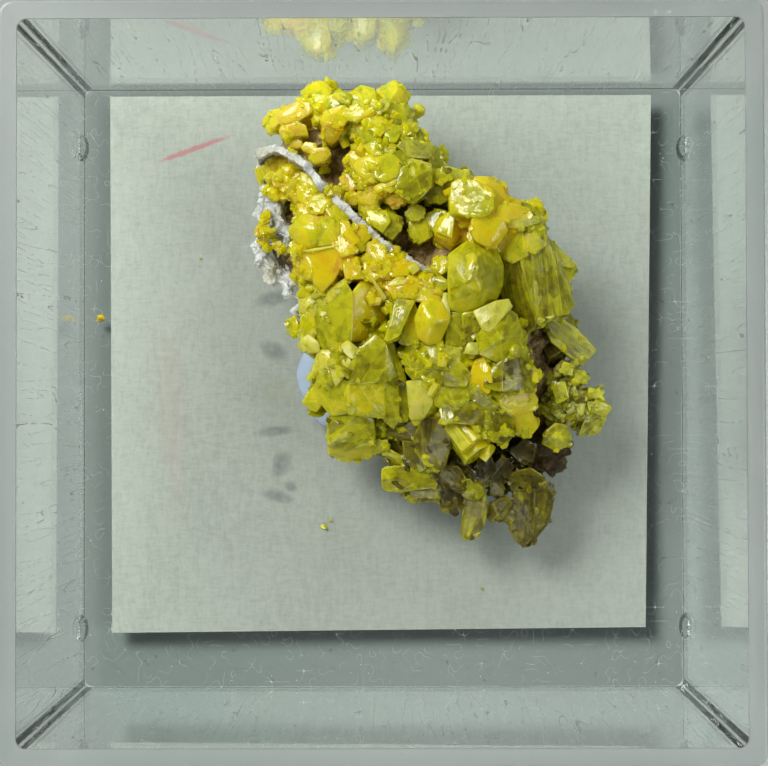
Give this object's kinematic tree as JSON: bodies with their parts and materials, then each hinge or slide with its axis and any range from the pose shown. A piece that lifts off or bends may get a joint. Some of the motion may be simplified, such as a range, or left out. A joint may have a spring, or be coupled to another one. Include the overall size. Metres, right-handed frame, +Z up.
{
  "type": "pyromorphite specimen",
  "caption": "Cluster of yellow-green six-sided crystals on brown and quartz matrix, set on putty over a label card in a small open clear square box.",
  "frame": {"origin": "middle of the box's underside, on the surface it stands on", "axes": "+Z up out of the open box, +X to the right and +Y away from the viewer, seen with the crown crystals at the back"},
  "size_m": [0.04, 0.04, 0.02],
  "materials": {
    "clear_plastic": "clear moulded polystyrene with fine scratches, frosted rim",
    "card": "bare uncoated label card",
    "putty": "matt pale blue mineral putty",
    "rock": "rough brown matrix with glassy dark quartz",
    "quartz": "granular grey-white quartz",
    "crystal_yellow": "resinous, translucent, stepped faces",
    "crystal_olive": "resinous, translucent, striated prism faces",
    "crystal_lime": "waxy to resinous, translucent",
    "crystal_dark": "glassy, dark olive brown",
    "druse": "dusty small crystals with pink flecks"
  },
  "bodies": {
    "root": {"box": "clear_plastic", "label_card": "card", "putty": "putty", "matrix": "rock", "quartz_wall": "quartz", "quartz_rind": "quartz", "waxy_crystal": "crystal_lime", "green_crystal": "crystal_lime", "hexagon_crystal": "crystal_olive", "striated_bundle": "crystal_olive", "blade_crystal": "crystal_olive", "cap_crystals": "crystal_yellow", "lower_left_crystals": "crystal_lime", "edge_crystals": "crystal_yellow", "heart_crystals": "crystal_yellow", "bowl_crystal": "crystal_olive", "shoulder_crystals": "crystal_yellow", "flank_crystals": "crystal_olive", "crown_crystals": "crystal_yellow", "left_bank_crystals": "crystal_yellow", "rind_crystals": "crystal_yellow", "middle_band_crystals": "crystal_yellow", "hollow_crystals": "crystal_olive", "side_crystals": "crystal_olive", "bottom_prisms": "crystal_olive", "foot_prism_left": "crystal_olive", "foot_prism_middle": "crystal_olive", "foot_prism_right": "crystal_olive", "dark_crystals": "crystal_dark", "leaf_crystal": "crystal_lime", "druse": "druse"}
  },
  "joints": []
}
